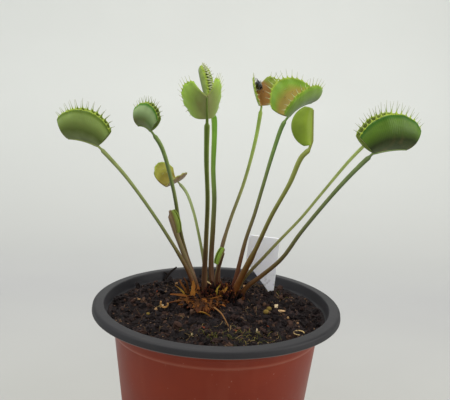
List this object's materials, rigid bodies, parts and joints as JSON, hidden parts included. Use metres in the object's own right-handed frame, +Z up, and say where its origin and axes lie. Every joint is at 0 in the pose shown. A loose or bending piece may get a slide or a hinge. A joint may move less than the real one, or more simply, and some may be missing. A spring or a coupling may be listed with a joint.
{
  "type": "potted venus flytrap",
  "caption": "Carnivorous house plant with toothed snap traps on arching stalks, rooted in peat in a round plastic nursery pot with a rolled rim and a plain plant tag.",
  "frame": {"origin": "centre of the pot's underside, on its axis, on the surface that it stands on", "axes": "+Z up, -Y towards the side that the plant is seen from, +X to the right of that view"},
  "size_m": [0.1443, 0.1016, 0.1839],
  "materials": {
    "pot_plastic": "thin moulded plastic, terracotta red outside and dark grey on the rim and inside, dull",
    "peat": "damp dark peat with bark crumbs and fibres, matte",
    "rhizome": "pale fleshy rootstock with dark roots, satin",
    "leaf_green": "living leaf, smooth and slightly glossy, green with reddish inner faces",
    "dead_leaf": "dry withered leaf, crumpled, matte",
    "tag_plastic": "thin white plastic strip, faintly violet, smooth and dull",
    "insect": "dark insect shell, slightly glossy"
  },
  "bodies": {
    "root": {"pot": "pot_plastic", "soil": "peat", "rhizome": "rhizome", "leaf_01": "leaf_green", "leaf_02": "leaf_green", "leaf_03": "leaf_green", "leaf_04": "leaf_green", "leaf_05": "leaf_green", "leaf_06": "leaf_green", "leaf_07": "leaf_green", "leaf_08": "leaf_green", "leaf_09": "leaf_green", "leaf_10": "leaf_green", "leaf_11": "leaf_green", "leaf_12": "leaf_green", "dead_leaves": "dead_leaf", "plant_tag": "tag_plastic", "caught_insect": "insect"}
  },
  "joints": []
}
